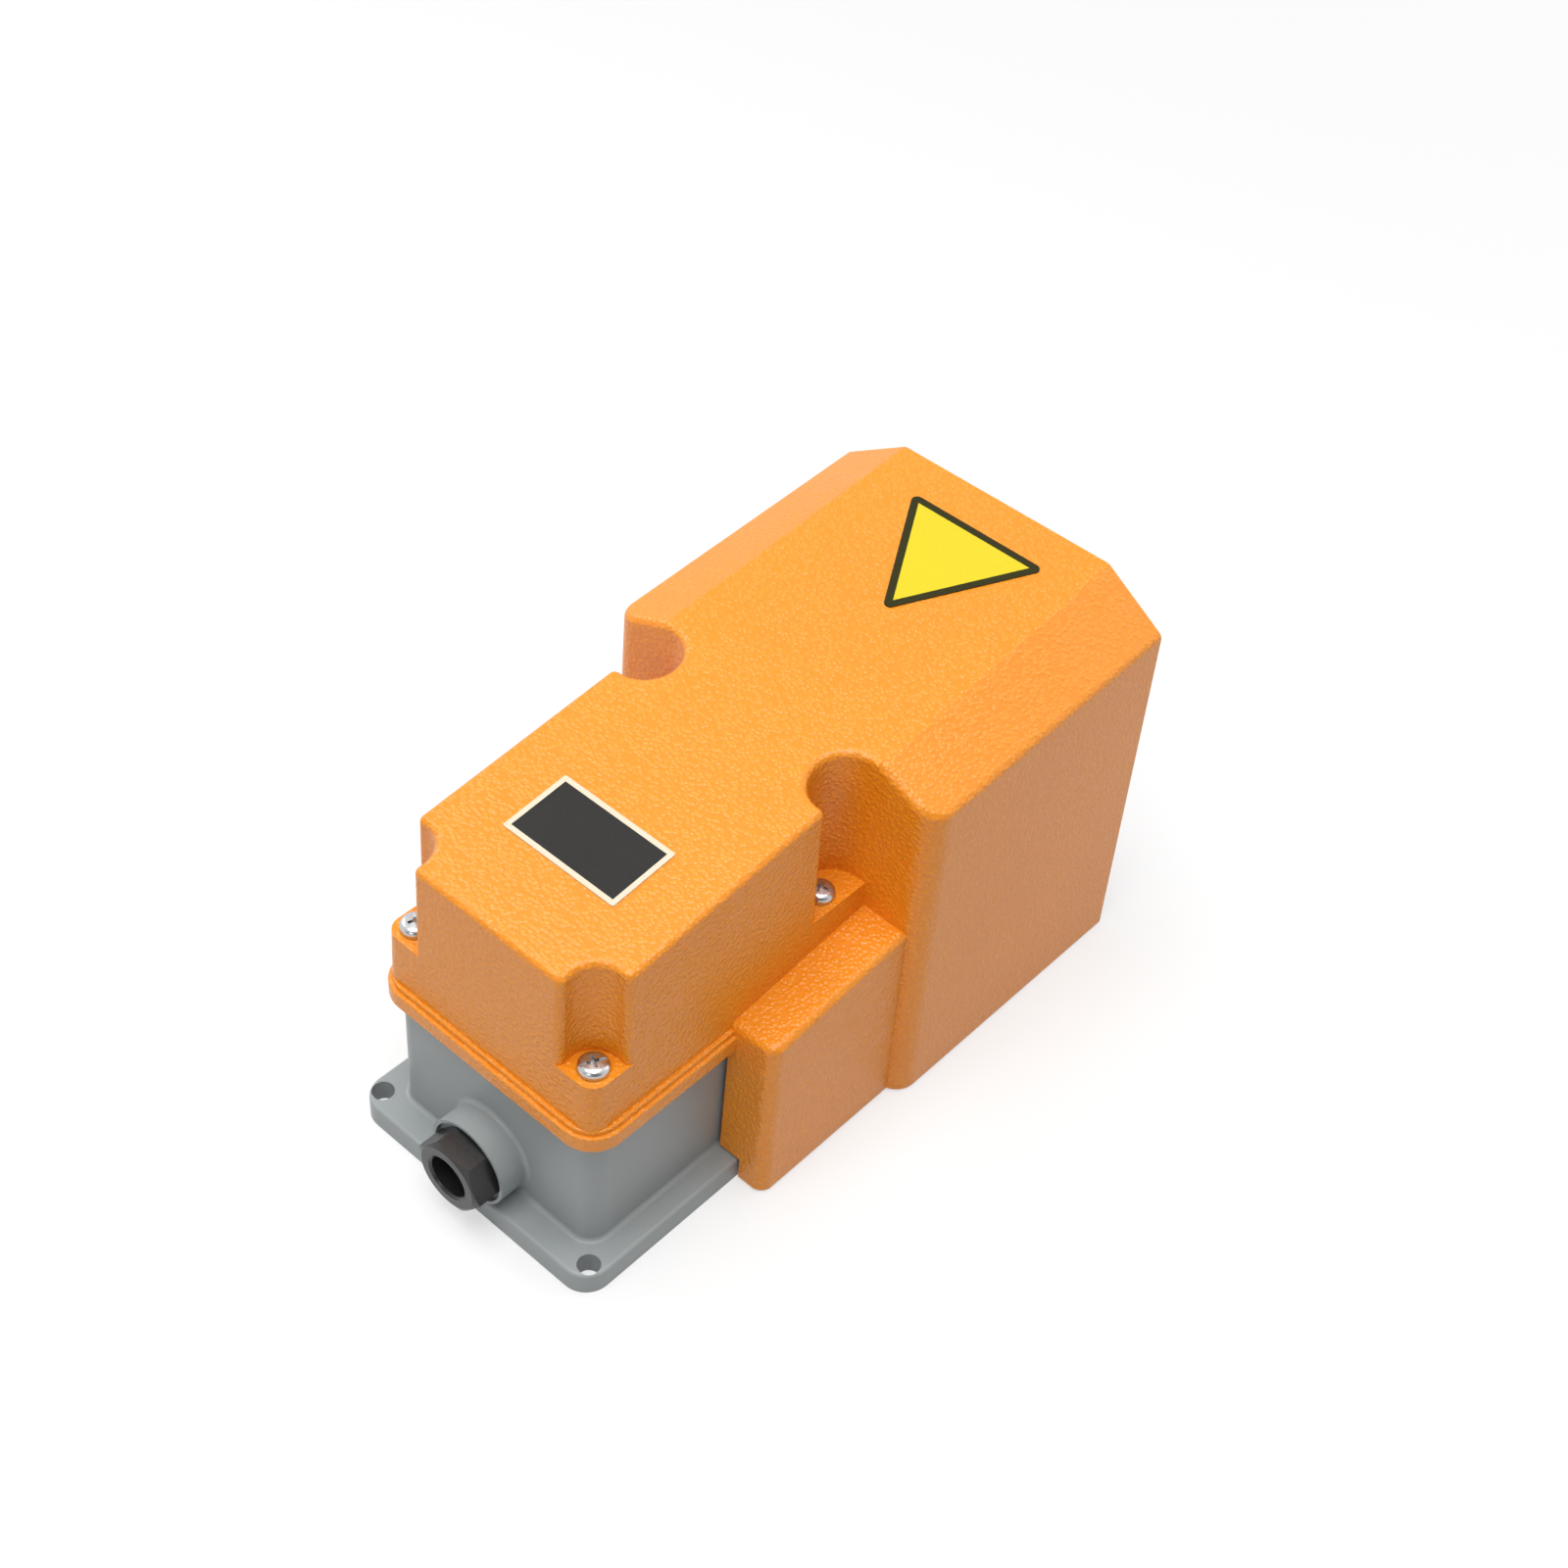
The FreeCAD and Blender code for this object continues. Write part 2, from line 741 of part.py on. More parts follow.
def pedal_pad():
    length = (pedal_rear - pedal_front) / math.cos(math.radians(pedal_slope))
    half = arm_outer - pad_margin
    pad = round_box(-half, half, pad_margin - length, -pad_margin, 0, pad_thick, pad_margin)
    count = int((length - 2 * pad_margin - groove_pitch) / groove_pitch)
    start = -length / 2 - (count - 1) * groove_pitch / 2
    centres = [start + k * groove_pitch for k in range(count)]
    reach = half - groove_width
    deep = pad_thick - groove_depth
    cuts = [(y - groove_width / 2, y + groove_width / 2) for y in centres]
    grooves = [block(-reach, reach, y0, y1, deep, pad_thick + 1) for y0, y1 in cuts]
    shank, head = pad_screw_radius + hole_gap, pad_screw_head + hole_gap
    sink = [(0, -1), (shank, -1), (shank, pad_sink_start())]
    sink += [(head, pad_thick), (head, pad_thick + 1), (0, pad_thick + 1)]
    island = pad_screw_head + groove_width
    islands = [ring_z(x, y, island, pad_screw_head, 0, pad_thick) for x, y in pad_screw_places()]
    pad = fuse([cut(pad, grooves)] + islands)
    return [on_pedal(cut(pad, [turned(sink, x, y, 0) for x, y in pad_screw_places()]))]


def pad_sink_start():
    return pad_thick - (pad_screw_head - pad_screw_radius)


def pad_screws():
    end = 1 - pedal_plate
    profile = [(0, end), (pad_screw_radius, end), (pad_screw_radius, pad_sink_start())]
    profile += [(pad_screw_head, pad_thick), (0, pad_thick)]
    return [on_pedal(turned(profile, x, y, 0)) for x, y in pad_screw_places()]


def pedal_shaft():
    end = arm_outer + shaft_end_out
    shaft = rod_x(shaft_y, shaft_z, shaft_radius, -end, end)
    rims = [e for e in shaft.Edges if abs(abs(e.CenterOfMass.x) - end) < 0.01]
    return [shaft.makeChamfer(shaft_end_out, rims)]


def shaft_bushes():
    inner = box_half - box_wall - bearing_boss_in
    outer = shaft_radius + bush_wall - seat_gap
    return both(ring_x(shaft_y, shaft_z, outer, shaft_radius + running_gap, inner, box_half))


def shaft_seals():
    middle = (box_half + shaft_from_wall) / 2
    outer = shaft_radius + bush_wall - hole_gap
    ends = (middle - seal_section / 2, middle + seal_section / 2)
    return both(ring_x(shaft_y, shaft_z, outer, shaft_radius + hole_gap, *ends))


def thrust_washers():
    ends = (shaft_from_wall, shaft_from_wall + washer_thick)
    return both(ring_x(shaft_y, shaft_z, bearing_boss_radius, shaft_radius + running_gap, *ends))


def hub_set_screw(x):
    """A headless screw with a hexagonal socket, which holds a hub on the shaft at x."""
    low, high = shaft_z + shaft_radius, shaft_z + hub_radius - shaft_end_out
    socket = hexagon(set_screw_radius, high - low)
    socket.translate(vec(x, shaft_y, (low + high) / 2))
    return rod_z(x, shaft_y, set_screw_radius, low, high).cut(socket)


def arm_set_screws():
    return [hub_set_screw(side * arm_middle()) for side in (-1, 1)]


def cam_lever():
    hub = rod_x(shaft_y, shaft_z, hub_radius, -lever_half, lever_half)
    low, high = shaft_z - lever_thick / 2, shaft_z + lever_thick / 2
    arm = block(-lever_half, lever_half, shaft_y, button_y, low, high)
    tip = rod_z(0, button_y, lever_half, low, high)
    bore = rod_x(shaft_y, shaft_z, shaft_radius + seat_gap, -lever_half - 1, lever_half + 1)
    key = rod_z(0, shaft_y, set_screw_radius + seat_gap, shaft_z, shaft_z + hub_radius + 1)
    hole = rod_z(0, button_y, adjuster_radius + seat_gap, low - 1, high + 1)
    return [cut(fuse([hub, arm, tip]), [bore, key, hole])]


def lever_set_screw():
    return [hub_set_screw(0)]


def adjusting_screw():
    size = (adjuster_radius, adjuster_length, adjuster_head_radius, adjuster_head)
    return [pan_screw(*size, 0, button_y, adjuster_top - adjuster_head)]


def lock_nut():
    nut = hexagon(lock_nut_flats, lock_nut_height)
    nut.translate(vec(0, button_y, shaft_z + lever_thick / 2))
    return [nut.cut(rod_z(0, button_y, adjuster_radius + seat_gap, 0, adjuster_top))]


def stop_cap():
    """The rubber cap on the post that the cam lever comes up to at rest."""
    top = stop_top()
    cap = rod_z(0, stop_place(), stop_radius, top, top + stop_rubber)
    rim = [e for e in cap.Edges if abs(e.CenterOfMass.z - top - stop_rubber) < 0.01]
    return [cap.makeChamfer(stop_bevel, rim)]


def return_spring():
    """A coil of short straight runs with flat ground ends."""
    low = plate_thick
    wire = spring_wire / 2
    height = spring_pad_height() - free_gap - low
    pitch = height / spring_turns
    turn = 2 * math.pi / spring_runs_per_turn
    count = round((height + spring_wire) / pitch * spring_runs_per_turn)
    rise = pitch / spring_runs_per_turn
    angles = [k * turn for k in range(count + 1)]
    around = [(spring_radius * math.cos(a), spring_radius * math.sin(a)) for a in angles]
    path = [vec(x, y, k * rise) for k, (x, y) in enumerate(around)]
    along = (path[1] - path[0]).normalize()
    out = (vec(1, 0, 0) - along * along.x).normalize()
    up = along.cross(out)
    angles = [2 * math.pi * k / spring_sides for k in range(spring_sides)]
    section = [path[0] + out * (wire * math.cos(a)) + up * (wire * math.sin(a)) for a in angles]
    section = Part.makePolygon(section + [section[0]])
    coil = Part.makePolygon(path).makePipeShell([section], True, False, 1)
    coil.translate(vec(0, spring_y, low - wire))
    reach = spring_radius + spring_wire
    return [coil.common(block(-reach, reach, spring_y - reach, spring_y + reach, low, low + height))]


def pedal_buffers():
    front = buffer_y - buffer_radius
    top = pressed_height(front, pedal_height(front) - pedal_plate) - free_gap
    profile = [(0, 0), (buffer_radius, 0), (buffer_top_radius, top - plate_thick), (0, top - plate_thick)]
    return both(turned(profile, buffer_x, buffer_y, plate_thick))


def switch_block(x0, x1, low, high):
    y0 = button_y - switch_lead
    return block(x0, x1, y0, y0 + switch_length, low, high)


def switch_top():
    return switch_bottom + switch_body_height


def switch_hole_places():
    middle = button_y - switch_lead + switch_length / 2
    z = switch_bottom + switch_hole_height
    return [(middle - mount_pitch / 2, z), (middle + mount_pitch / 2, z)]


def terminal_places():
    middle = button_y - switch_lead + switch_length / 2
    return [middle + k * terminal_pitch for k in (-1, 0, 1)]


def switch_body():
    half = switch_width / 2
    body = switch_block(cover_plate - half, half, switch_bottom, switch_top())
    body = rounded(body, switch_corner_radius, lambda e: is_vertical(e) and e.CenterOfMass.x > 0)
    room = switch_bottom + button_depth + button_travel + 1
    shaft = rod_z(0, button_y, button_radius + button_gap, switch_bottom - 1, room)
    mounts = [rod_x(y, z, mount_radius, -half, half + 1) for y, z in switch_hole_places()]
    low, radius = switch_top() - terminal_screw_length, small_screw_radius + hole_gap
    threads = [rod_z(0, y, radius, low, switch_top() + 1) for y in terminal_places()]
    return [cut(body, [shaft] + mounts + threads)]


def switch_cover():
    half = switch_width / 2
    cover = switch_block(-half, cover_plate - half, switch_bottom, switch_top())
    return [cut(cover, [rod_x(y, z, mount_radius, -half - 1, 0) for y, z in switch_hole_places()])]


def switch_button():
    top = switch_bottom + button_depth
    button = rod_z(0, button_y, button_radius, button_bottom, top)
    rim = [e for e in button.Edges if abs(e.CenterOfMass.z - button_bottom) < 0.01]
    return [button.makeChamfer(button_bevel, rim)]


def switch_bracket():
    x = switch_width / 2
    wall = block(x, x + bracket_thick, bracket_front, bracket_rear, bracket_seat, switch_top() - 2)
    foot = block(x, x + bracket_foot, bracket_front, bracket_rear, bracket_seat, bracket_seat + bracket_thick)
    sheet = fuse([wall, foot])

    def bend(edge):
        c = edge.CenterOfMass
        return abs(c.x - x) < 0.01 and abs(c.z - bracket_seat) < 0.01 and edge.Length > bracket_foot

    sheet = rounded(sheet, bracket_thick, bend)
    holes = [rod_x(y, z, mount_radius, 0, x + bracket_thick + 1) for y, z in switch_hole_places()]
    feet = [rod_z(a, b, mount_radius, 0, bracket_seat + bracket_thick + 1) for a, b in bracket_foot_places()]
    return [cut(sheet, holes + feet)]


def small_screw(length, x=0, y=0, z=0):
    return pan_screw(small_screw_radius, length, small_screw_head, small_screw_height, x, y, z)


def bracket_screws():
    z = bracket_seat + bracket_thick
    return [small_screw(small_screw_length, x, y, z) for x, y in bracket_foot_places()]


def along_x(shape, x, y, z):
    """Lays an upright piece down so that its top points along -X, with its foot at the given place."""
    shape = shape.copy()
    shape.rotate(vec(0, 0, 0), vec(0, 1, 0), -90)
    shape.translate(vec(x, y, z))
    return shape


def switch_screws():
    reach = switch_width + bracket_thick + small_nut_height + 1
    return [along_x(small_screw(reach), -switch_width / 2, y, z) for y, z in switch_hole_places()]


def switch_nuts():
    hole = rod_z(0, 0, small_screw_radius + seat_gap, -1, small_nut_height + 1)
    nut = hexagon(small_nut_flats, small_nut_height).cut(hole)
    x = switch_width / 2 + bracket_thick + small_nut_height
    return [along_x(nut, x, y, z) for y, z in switch_hole_places()]


def switch_terminals():
    tabs = []
    for y in terminal_places():
        z = switch_top()
        y0, y1 = y - terminal_width / 2, y + terminal_width / 2
        end = -terminal_reach / 2
        foot = block(end, -end, y0, y1, z, z + terminal_sheet)
        wing = block(end, end + terminal_sheet, y0, y1, z, z + terminal_wing)
        hole = rod_z(0, y, small_screw_radius + hole_gap, z - 1, z + terminal_sheet + 1)
        tabs.append(fuse([foot, wing]).cut(hole))
    return tabs


def terminal_screws():
    z = switch_top() + terminal_sheet
    return [small_screw(terminal_screw_length, 0, y, z) for y in terminal_places()]


def earth_clamp():
    x, y = earth_place()
    half = earth_clamp_side / 2
    top = earth_seat + earth_clamp_thick
    plate = round_box(x - half, x + half, y - half, y + half, earth_seat, top, earth_clamp_corner)
    return [plate.cut(rod_z(x, y, screw_radius + hole_gap, 0, top + 1))]


def earth_screw():
    x, y = earth_place()
    z = earth_seat + earth_clamp_thick
    return [pan_screw(screw_radius, earth_screw_length, earth_screw_head, screw_head_height, x, y, z)]


def gland_nut():
    """The hollow hexagon-headed screw that closes the cable inlet."""
    top = gland_nut_height
    corner = gland_flats / math.sqrt(3)
    face = gland_flats / 2 - gland_bevel / 2
    bevel = [(0, -1), (corner + 1, -1), (corner + 1, 0), (corner, top - gland_bevel), (face, top), (0, top)]
    head = hexagon(gland_flats, top).common(turned(bevel, 0, 0, 0))
    thread = rod_z(0, 0, gland_thread - hole_gap, -gland_thread_depth, 1)
    mouth = gland_bore + gland_bore_bevel
    foot = -gland_thread_depth - 1
    bore = [(0, foot), (gland_bore, foot), (gland_bore, top - gland_bore_bevel)]
    bore += [(mouth, top), (mouth, top + 1), (0, top + 1)]
    nut = fuse([head, thread]).cut(turned(bore, 0, 0, 0))
    nut.rotate(vec(0, 0, 0), vec(1, 0, 0), -90)
    nut.rotate(vec(0, 0, 0), vec(0, 1, 0), -gland_turn)
    nut.translate(vec(0, gland_seat(), boss_height))
    return [nut]


def gland_washer_ring():
    start = gland_pocket_end() + gland_seal_length
    return [ring_y(boss_height, gland_thread - hole_gap, gland_bore, start, start + gland_washer)]


def gland_seal():
    start = gland_pocket_end()
    return [ring_y(boss_height, gland_thread - hole_gap, gland_seal_bore, start, start + gland_seal_length)]


def laid_on_roof(shape, x, y):
    """Moves a flat shape made round the origin onto the sloping roof."""
    shape = shape.copy()
    shape.rotate(vec(0, 0, 0), vec(1, 0, 0), -roof_tilt)
    shape.translate(vec(x, y, roof_height(y)))
    return shape


def name_plate():
    half, deep = name_length / 2, name_width / 2
    sheet = round_box(-half, half, -deep, deep, 0, name_sheet, name_corner_radius)
    return [laid_on_roof(sheet, 0, name_place)]


def triangle_label():
    half = triangle_side / 2
    outline = [(-half, 0), (half, 0), (0, triangle_side * math.sqrt(3) / 2)]
    sheet = rounded(prism_z(outline, 0, triangle_sheet), triangle_radius, is_upright)
    return [laid_on_roof(sheet, triangle_shift, triangle_base)]


pieces = {
    "guard_cover": guard_cover,
    "base_casting": base_casting,
    "lid_gasket": lid_gasket,
    "lid_screws": lid_screws,
    "pedal_casting": pedal_casting,
    "pedal_pad": pedal_pad,
    "pad_screws": pad_screws,
    "pedal_shaft": pedal_shaft,
    "shaft_bushes": shaft_bushes,
    "shaft_seals": shaft_seals,
    "thrust_washers": thrust_washers,
    "arm_set_screws": arm_set_screws,
    "cam_lever": cam_lever,
    "lever_set_screw": lever_set_screw,
    "adjusting_screw": adjusting_screw,
    "lock_nut": lock_nut,
    "stop_cap": stop_cap,
    "return_spring": return_spring,
    "pedal_buffers": pedal_buffers,
    "switch_body": switch_body,
    "switch_cover": switch_cover,
    "switch_button": switch_button,
    "switch_bracket": switch_bracket,
    "bracket_screws": bracket_screws,
    "switch_screws": switch_screws,
    "switch_nuts": switch_nuts,
    "switch_terminals": switch_terminals,
    "terminal_screws": terminal_screws,
    "earth_clamp": earth_clamp,
    "earth_screw": earth_screw,
    "gland_nut": gland_nut,
    "gland_washer": gland_washer_ring,
    "gland_seal": gland_seal,
    "name_plate": name_plate,
    "triangle_label": triangle_label,
}

os.makedirs("parts", exist_ok=True)
for name, make in pieces.items():
    solids = make()
    shape = solids[0] if len(solids) == 1 else Part.makeCompound(solids)
    shape.exportStep("parts/" + name + ".step")
    state = "valid" if shape.isValid() else "NOT VALID"
    print(name, len(shape.Solids), "solids", state, round(shape.Volume), "mm3")
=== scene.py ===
import json
import math

import bmesh
import bpy
from mathutils import Matrix, Vector


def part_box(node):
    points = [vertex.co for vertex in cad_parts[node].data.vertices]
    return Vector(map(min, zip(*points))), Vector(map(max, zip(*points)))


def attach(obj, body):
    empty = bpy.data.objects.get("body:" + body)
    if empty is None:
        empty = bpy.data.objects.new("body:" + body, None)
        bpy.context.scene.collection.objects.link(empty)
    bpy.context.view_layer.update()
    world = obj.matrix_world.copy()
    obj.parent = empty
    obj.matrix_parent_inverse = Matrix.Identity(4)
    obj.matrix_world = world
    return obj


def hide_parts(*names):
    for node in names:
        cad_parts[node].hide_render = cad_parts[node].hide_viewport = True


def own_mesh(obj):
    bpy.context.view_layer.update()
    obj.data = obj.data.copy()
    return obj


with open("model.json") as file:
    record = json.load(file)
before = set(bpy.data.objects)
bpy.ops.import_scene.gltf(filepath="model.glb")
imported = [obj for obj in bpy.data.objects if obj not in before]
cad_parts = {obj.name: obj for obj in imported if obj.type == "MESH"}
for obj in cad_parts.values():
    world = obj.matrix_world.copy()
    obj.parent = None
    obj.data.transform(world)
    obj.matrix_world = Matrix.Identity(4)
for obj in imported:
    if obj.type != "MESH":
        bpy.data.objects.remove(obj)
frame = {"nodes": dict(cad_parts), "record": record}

# A guarded industrial foot switch: the finish of every piece, the screws, the blank plates and the studio.
# Lengths are in metres. +Z is up, +Y is the cable side and -Y the opening for the foot.

MM = 0.001
WELD = 0.001 * MM
FLAT_ANGLE = math.radians(0.5)
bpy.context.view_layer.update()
nodes = frame["nodes"]
bodies = frame["record"]["behaviour"]["bodies"]
body_of_node = {node: body for body, members in bodies.items() for node in members}
slot_of_node = {part["node"]: part["material_slot"] for part in frame["record"]["subparts"]}

# Camera, fitted to the photograph's frame
SENSOR = 36.0
FOCAL_PIXELS = 2400.0
IMAGE_PIXELS = 1600.0
EYE = Vector((-0.3345, 0.4019, 0.6101))
YAW, PITCH, ROLL = (math.radians(angle) for angle in (-51.75, 43.93, 5.51))
CLIP_NEAR, CLIP_FAR = 0.01, 20.0

# Surroundings: their light, and how dim the side behind the camera looks in gloss. Its edge is soft,
# between two cosines of the angle from the middle of that side.
WORLD_LIGHT = 0.30
ROOM_SIDE = (-0.64, 0.77, 0.0)
ROOM_EDGE_START, ROOM_EDGE_END = 0.35, 0.75
ROOM_DIM = 0.2

# Lamps, all aimed at the middle of the object: name, place, size and power
LAMP_AIM = (0, 0, 0.07)
LAMPS = (
    ("key", (-0.05, 0.2, 1.35), 1.0, 17.0),
    ("left_fill", (1.0, 0.1, 0.7), 0.4, 4.0),
    ("front_fill", (-0.5, -1.0, 0.6), 1.0, 3.0),
    ("rear_fill", (-0.3, 1.2, 0.6), 0.4, 1.8),
)

# Floor: its reach, its colour for light and as seen, and its glow, which grows with the distance from the
# middle of the object
FLOOR_REACH = 4.0
FLOOR_LIT, FLOOR_SEEN = 0.5, 0.9
GLOW_NEAR, GLOW_FAR = 0.55, 1.0
GLOW_START, GLOW_END = 0.3, 1.2

# Guard's paint: its colour in the valleys and on the tops of its grain, which is painted shade in the
# valleys and painted light on the tops, the tint of its duller patches, and its grain of pebbles and fine
# noise.
# Scales are counted per metre. A pebble's top and rim are given in the distance that the cell texture
# measures.
ORANGE_SHADED_VALLEY, ORANGE_LIT_TOP = (0.82, 0.262, 0.009), (0.885, 0.312, 0.014)
ORANGE_DULLED, PATCH_SCALE = (0.96, 0.95, 0.93), 9.0
PEBBLE_SCALE, PEBBLE_BLEND, PEBBLE_DEPTH = 700.0, 0.35, 0.22 * MM
PEBBLE_TOP, PEBBLE_RIM = 0.12, 0.62
FINE_SCALE, FINE_DEPTH = 1400.0, 0.04 * MM

# Base's paint: its two tones, in broad clouds, and its orange peel
GREY_DARK, GREY_LIGHT = (0.296, 0.320, 0.323), (0.326, 0.350, 0.352)
CLOUD_SCALE = 22.0
PEEL_SCALE, PEEL_DEPTH = 420.0, 0.10 * MM

# Skin of what is printed or lacquered
INK = {"roughness": 0.45, "scale": 1200.0, "depth": 0.01 * MM}
FILM = {"roughness": 0.30, "scale": 1200.0, "depth": 0.01 * MM}

# Lid screws, as cross and slot drive pan heads: the turned form
HEAD_RADIUS = 4.9 * MM
HEAD_HEIGHT = 3.6 * MM
CAD_HEAD_HEIGHT = 3.7 * MM
SHANK_RADIUS = 2.5 * MM
SEAT_BEVEL = 0.3 * MM
CROWN_DROP, CROWN_INSET, CROWN_RISE = 2.4192 * MM, 1.9656 * MM, 2.0412 * MM
CROWN_STEPS = 6
TURNED_STEPS = 64

# The drive cut into their heads: a cross that narrows downwards from just above the head, and a slot
CROSS_TOP, CROSS_FOOT = 3.105 * MM, 1.0 * MM
CROSS_TOP_WIDTH, CROSS_FOOT_WIDTH = 1.155 * MM, 0.825 * MM
CROSS_DEPTH, CROSS_PROUD = 2.1 * MM, 0.63 * MM
SLOT_WIDTH, SLOT_DEPTH = 1.0 * MM, 0.9 * MM
SCREW_TURNS = (20, 65, 110, 155)

# Blank plate and blank triangle on the roof. The top is the largest face that looks up. A side of it is an
# edge longer than five borders, which leaves out the rounded corners, and a face is a part of the top when
# its normal points the same way.
PLATE_BORDER = 1.75 * MM
TRIANGLE_RIM = 2.6 * MM
PRINT_STEP = 0.04 * MM
SIDE_BORDERS = 5
SAME_WAY = 0.99
FACES_UP = 0.5

# Return spring under the pedal: radius of the coil and of the wire, turns, steps in a turn, how round the
# wire is, and the share of it that lies flat at each end
SPRING_RADIUS = 10.9 * MM
SPRING_WIRE = 1.05 * MM
SPRING_TURNS = 5.5
SPRING_STEPS = 40
SPRING_ROUNDNESS = 5
SPRING_CLOSED_END = 0.09


def new_material(name, **sockets):
    """A material with a Principled shader and the given values on its sockets."""
    material = bpy.data.materials.new(name)
    material.use_nodes = True
    shader = material.node_tree.nodes["Principled BSDF"]
    for socket, value in sockets.items():
        shader.inputs[socket.replace("_", " ").title().replace("Ior", "IOR")].default_value = value
    return material, shader


def add(material, kind, **settings):
    """A new shader node with its settings."""
    node = material.node_tree.nodes.new(kind)
    for name, value in settings.items():
        setattr(node, name, value)
    return node


def join(material, source, target):
    """Links one socket to another."""
    material.node_tree.links.new(source, target)


def object_place(material):
    """The object's own coordinates."""
    return add(material, "ShaderNodeTexCoord").outputs["Object"]


def noise(material, scale, detail=2.0, roughness=0.5, distortion=0.0):
    """A noise value over the object's own coordinates, with scale counted per metre."""
    node = add(material, "ShaderNodeTexNoise")
    node.inputs["Scale"].default_value = scale
    node.inputs["Detail"].default_value = detail
    node.inputs["Roughness"].default_value = roughness
    node.inputs["Distortion"].default_value = distortion
    join(material, object_place(material), node.inputs["Vector"])
    return node.outputs["Fac"]


def cells(material, scale, smoothness):
    """Rounded pebbles over the object's own coordinates."""
    node = add(material, "ShaderNodeTexVoronoi", feature="SMOOTH_F1")
    node.inputs["Scale"].default_value = scale
    node.inputs["Smoothness"].default_value = smoothness
    join(material, object_place(material), node.inputs["Vector"])
    return node.outputs["Distance"]


def stretched(material, value, low, high, floor=0.0, top=1.0):
    """A value with its range from low to high brought to floor and top, and cut off there."""
    node = add(material, "ShaderNodeMapRange")
    for name, number in (("From Min", low), ("From Max", high), ("To Min", floor), ("To Max", top)):
        node.inputs[name].default_value = number
    join(material, value, node.inputs["Value"])
    return node.outputs["Result"]


def mixed(material, share, dark, light):
    """A colour between two others, by a share from 0 to 1."""
    node = add(material, "ShaderNodeMix", data_type="RGBA")
    node.inputs["A"].default_value = (*dark, 1)
    node.inputs["B"].default_value = (*light, 1)
    join(material, share, node.inputs["Factor"])
    return node.outputs["Result"]


def bumped(material, shader, height, depth, strength=1.0, under=None):
    """Raises a bump of depth metres on the shader, over an earlier bump where one is given."""
    node = add(material, "ShaderNodeBump")
    node.inputs["Strength"].default_value = strength
    node.inputs["Distance"].default_value = depth
    join(material, height, node.inputs["Height"])
    if under is not None:
        join(material, under, node.inputs["Normal"])
    join(material, node.outputs["Normal"], shader.inputs["Normal"])
    return node.outputs["Normal"]


def wrinkle_paint():
    """Orange powder coat with a fine leather grain, with painted shade in the grain's valleys and painted
    light on its tops.
    """
    material, shader = new_material("wrinkle_paint", roughness=0.34, specular_ior_level=0.5)
    patches = stretched(material, noise(material, PATCH_SCALE, 3.0), 0.35, 0.65)
    fine = noise(material, FINE_SCALE, 1.0, 0.5, 0.3)
    cell = cells(material, PEBBLE_SCALE, PEBBLE_BLEND)
    pebbles = stretched(material, cell, PEBBLE_TOP, PEBBLE_RIM, 1.0, 0.0)
    # The pebble height also sets the colour: darker in the valleys as painted shade, lighter on the tops as
    # painted light
    colour = mixed(material, pebbles, ORANGE_SHADED_VALLEY, ORANGE_LIT_TOP)
    tint = add(material, "ShaderNodeMix", data_type="RGBA", blend_type="MULTIPLY")
    tint.inputs["Factor"].default_value = 1.0
    join(material, colour, tint.inputs["A"])
    join(material, mixed(material, patches, ORANGE_DULLED, (1, 1, 1)), tint.inputs["B"])
    join(material, tint.outputs["Result"], shader.inputs["Base Color"])
    under = bumped(material, shader, pebbles, PEBBLE_DEPTH)
    bumped(material, shader, fine, FINE_DEPTH, 1.0, under)
    return material


def satin_grey():
    """Grey paint on the cast base, smoother than the guard's, with a little orange peel."""
    material, shader = new_material("satin_grey_paint", roughness=0.42)
    clouds = stretched(material, noise(material, CLOUD_SCALE, 4.0), 0.3, 0.7)
    join(material, mixed(material, clouds, GREY_DARK, GREY_LIGHT), shader.inputs["Base Color"])
    bumped(material, shader, noise(material, PEEL_SCALE, 3.0), PEEL_DEPTH, 0.5)
    return material


def metal(name, colour, roughness, grain_scale, depth, wear=0.08):
    """Bare or plated metal with a faint cloudy finish."""
    material, shader = new_material(name, metallic=1.0)
    cloud = noise(material, grain_scale, 4.0)
    darker = tuple(c * (1 - wear) for c in colour)
    tone = mixed(material, stretched(material, cloud, 0.3, 0.7), darker, colour)
    rough = stretched(material, cloud, 0.2, 0.8, roughness - 0.06, roughness + 0.06)
    join(material, tone, shader.inputs["Base Color"])
    join(material, rough, shader.inputs["Roughness"])
    bumped(material, shader, noise(material, 3 * grain_scale, 3.0), depth, 0.5)
    return material


def moulding(name, colour, lighter, roughness, scale=900.0, depth=0.03 * MM, gloss=0.5):
    """Moulded plastic, rubber or ink with a fine eroded skin."""
    material, shader = new_material(name, specular_ior_level=gloss)
    skin = noise(material, scale, 3.0)
    tone = mixed(material, stretched(material, skin, 0.3, 0.7), colour, lighter)
    cloud = noise(material, 60.0, 2.0)
    rough = stretched(material, cloud, 0.2, 0.8, roughness - 0.05, roughness + 0.05)
    join(material, tone, shader.inputs["Base Color"])
    join(material, rough, shader.inputs["Roughness"])
    bumped(material, shader, skin, depth, 0.6)
    return material


